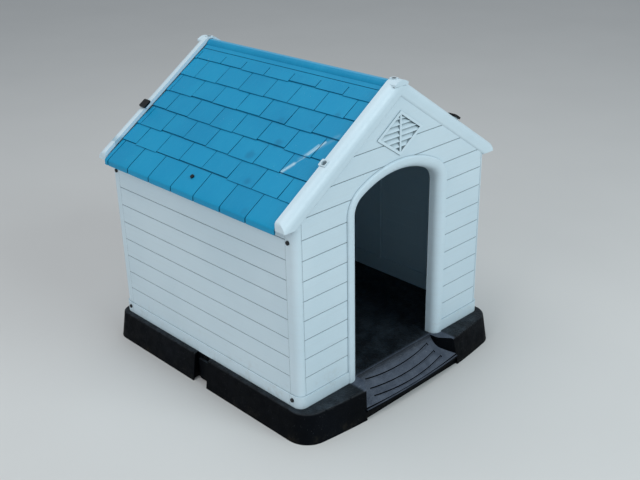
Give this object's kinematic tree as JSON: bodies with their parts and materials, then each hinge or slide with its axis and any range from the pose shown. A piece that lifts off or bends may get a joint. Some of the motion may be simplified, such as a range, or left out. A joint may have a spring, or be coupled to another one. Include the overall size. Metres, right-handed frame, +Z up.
{
  "type": "dog house",
  "caption": "Plastic dog house with a gabled shingle-pattern roof, arched doorway, diamond gable vents and a two-piece base with a moulded step at the door.",
  "frame": {"origin": "centre of the bounding box on the ground, under the middle of the house", "axes": "+Z up, -Y out of the doorway, +X towards the right-hand side wall seen from the front"},
  "size_m": [0.66, 0.725, 0.7126],
  "materials": {
    "base_plastic": "black polypropylene, pebbled, with speckled wear",
    "wall_plastic": "off-white polypropylene, fine satin grain",
    "vent_plastic": "off-white polypropylene, satin",
    "roof_plastic": "blue polypropylene with a shingle pattern",
    "fastener_plastic": "black nylon, satin"
  },
  "bodies": {
    "house": {"base_front": "base_plastic", "base_rear": "base_plastic", "base_key_left": "base_plastic", "base_key_right": "base_plastic", "front_wall": "wall_plastic", "rear_wall": "wall_plastic", "left_wall": "wall_plastic", "right_wall": "wall_plastic", "front_vent": "vent_plastic", "rear_vent": "vent_plastic", "roof_left": "roof_plastic", "roof_right": "roof_plastic", "ridge_cap": "roof_plastic", "wall_screws_left": "fastener_plastic", "wall_screws_right": "fastener_plastic", "eave_screws": "fastener_plastic", "peak_screws": "fastener_plastic"},
    "lock_front_right": {"roof_lock_front_right": "fastener_plastic"},
    "lock_rear_left": {"roof_lock_rear_left": "fastener_plastic"},
    "lock_rear_right": {"roof_lock_rear_right": "fastener_plastic"}
  },
  "joints": [
    {"name": "lock_front_right_turn", "type": "hinge", "parent": "house", "child": "lock_front_right", "pos_m": [0.2, -0.2799, 0.5836], "axis": [0.5578, 0, 0.83], "range_deg": [0, 90]},
    {"name": "lock_rear_left_turn", "type": "hinge", "parent": "house", "child": "lock_rear_left", "pos_m": [-0.2, 0.3179, 0.5836], "axis": [-0.5578, 0, 0.83], "range_deg": [0, 90]},
    {"name": "lock_rear_right_turn", "type": "hinge", "parent": "house", "child": "lock_rear_right", "pos_m": [0.2, 0.3179, 0.5836], "axis": [0.5578, 0, 0.83], "range_deg": [0, 90]}
  ]
}
